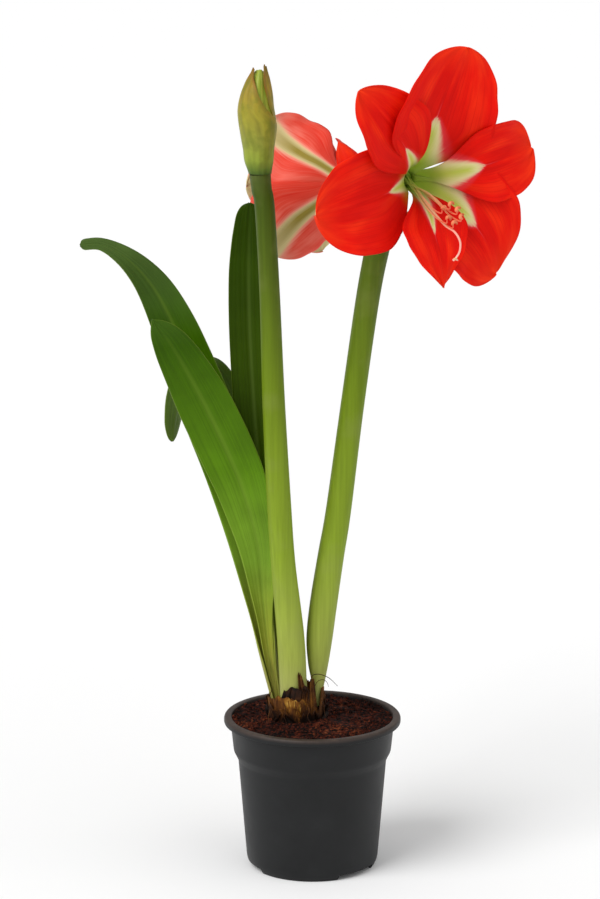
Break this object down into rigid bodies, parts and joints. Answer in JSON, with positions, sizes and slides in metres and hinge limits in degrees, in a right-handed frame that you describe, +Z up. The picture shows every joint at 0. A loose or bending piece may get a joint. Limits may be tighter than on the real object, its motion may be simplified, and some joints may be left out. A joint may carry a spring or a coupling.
{
  "type": "potted amaryllis",
  "caption": "Flowering amaryllis with strap leaves, open trumpet blooms and a sheathed bud, growing from a bulb in a round plastic nursery pot of soil.",
  "frame": {"origin": "centre of the flat underside of the pot, on the pot's axis", "axes": "+Z up along the pot's axis and the plant's length, -Y towards the side that the picture shows, +X to its right"},
  "size_m": [0.3187, 0.2243, 0.6087],
  "materials": {
    "pot_plastic": "matt charcoal, injection moulded",
    "potting_mix": "loose dark coir and bark",
    "bulb_scale": "fleshy bulb in brown skin",
    "dry_scale": "dry, papery and ragged",
    "leaf": "smooth, slightly waxy",
    "stem": "smooth with a dull bloom",
    "bud_sheath": "thin, ribbed, drying at the edges",
    "green_bud": "smooth",
    "red_petal": "silky petal",
    "stamen": "smooth thread"
  },
  "bodies": {
    "root": {"pot": "pot_plastic", "soil": "potting_mix", "bulb": "bulb_scale", "tunic": "dry_scale", "leaf_arching": "leaf", "leaf_front": "leaf", "leaf_upright": "leaf", "leaf_bent": "leaf", "scape_left": "stem", "scape_right": "stem", "front_stalk": "stem", "back_stalk": "stem", "red_bud_stalk": "stem", "dry_bract_back": "dry_scale", "dry_bract_right": "dry_scale", "bract_left": "bud_sheath", "bract_right": "bud_sheath", "bud_inner": "green_bud", "red_bud": "red_petal", "bloom_front": "red_petal", "bloom_back": "red_petal", "stamens_front": "stamen", "stamens_back": "stamen"}
  },
  "joints": []
}
